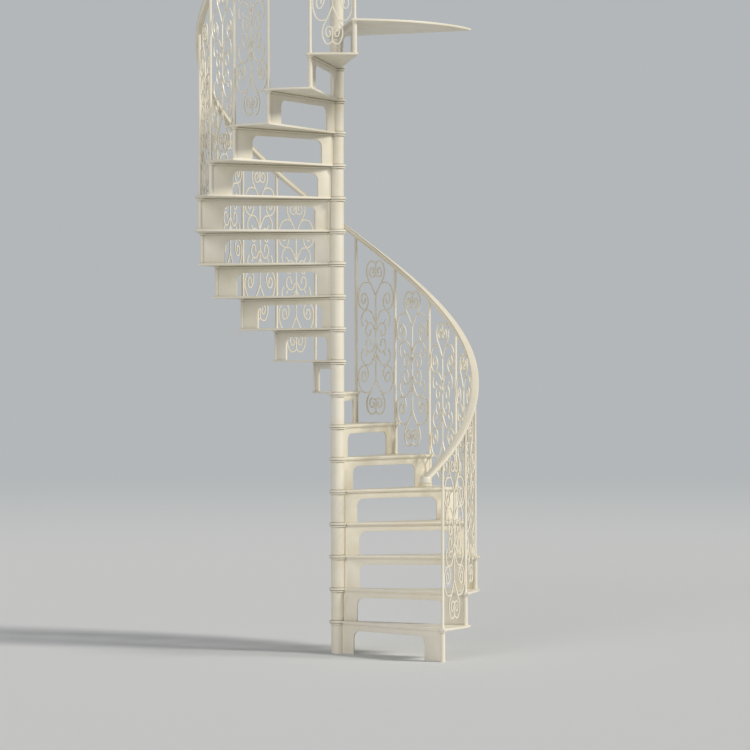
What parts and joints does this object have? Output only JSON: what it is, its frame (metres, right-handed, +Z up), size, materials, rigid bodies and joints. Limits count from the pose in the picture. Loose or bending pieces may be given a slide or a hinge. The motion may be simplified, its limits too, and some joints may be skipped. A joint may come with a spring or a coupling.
{
  "type": "spiral staircase",
  "caption": "Spiral staircase of painted castings that climbs anticlockwise, with open risers, a moulded column and a balustrade of scroll panels.",
  "frame": {"origin": "middle of the centre column's foot, on the lower floor", "axes": "+Z up along the column; the first riser stands at 45 degrees from +X towards -Y, and the stair climbs anticlockwise seen from above"},
  "size_m": [1.8149, 1.815, 5.0298],
  "materials": {
    "casting_paint": "satin ivory paint over cast iron",
    "rail_paint": "satin ivory paint over steel"
  },
  "bodies": {
    "root": {"centre_column": "casting_paint", "finial": "casting_paint", "tread_01": "casting_paint", "tread_02": "casting_paint", "tread_03": "casting_paint", "tread_04": "casting_paint", "tread_05": "casting_paint", "tread_06": "casting_paint", "tread_07": "casting_paint", "tread_08": "casting_paint", "tread_09": "casting_paint", "tread_10": "casting_paint", "tread_11": "casting_paint", "tread_12": "casting_paint", "tread_13": "casting_paint", "tread_14": "casting_paint", "tread_15": "casting_paint", "tread_16": "casting_paint", "tread_17": "casting_paint", "tread_18": "casting_paint", "landing_plate": "casting_paint", "riser_01": "casting_paint", "riser_02": "casting_paint", "riser_03": "casting_paint", "riser_04": "casting_paint", "riser_05": "casting_paint", "riser_06": "casting_paint", "riser_07": "casting_paint", "riser_08": "casting_paint", "riser_09": "casting_paint", "riser_10": "casting_paint", "riser_11": "casting_paint", "riser_12": "casting_paint", "riser_13": "casting_paint", "riser_14": "casting_paint", "riser_15": "casting_paint", "riser_16": "casting_paint", "riser_17": "casting_paint", "riser_18": "casting_paint", "riser_19": "casting_paint", "balusters": "casting_paint", "scroll_panels_lower": "casting_paint", "scroll_panels_upper": "casting_paint", "handrail_lower": "rail_paint", "handrail_middle": "rail_paint", "handrail_upper": "rail_paint", "handrail_cap": "rail_paint"}
  },
  "joints": []
}
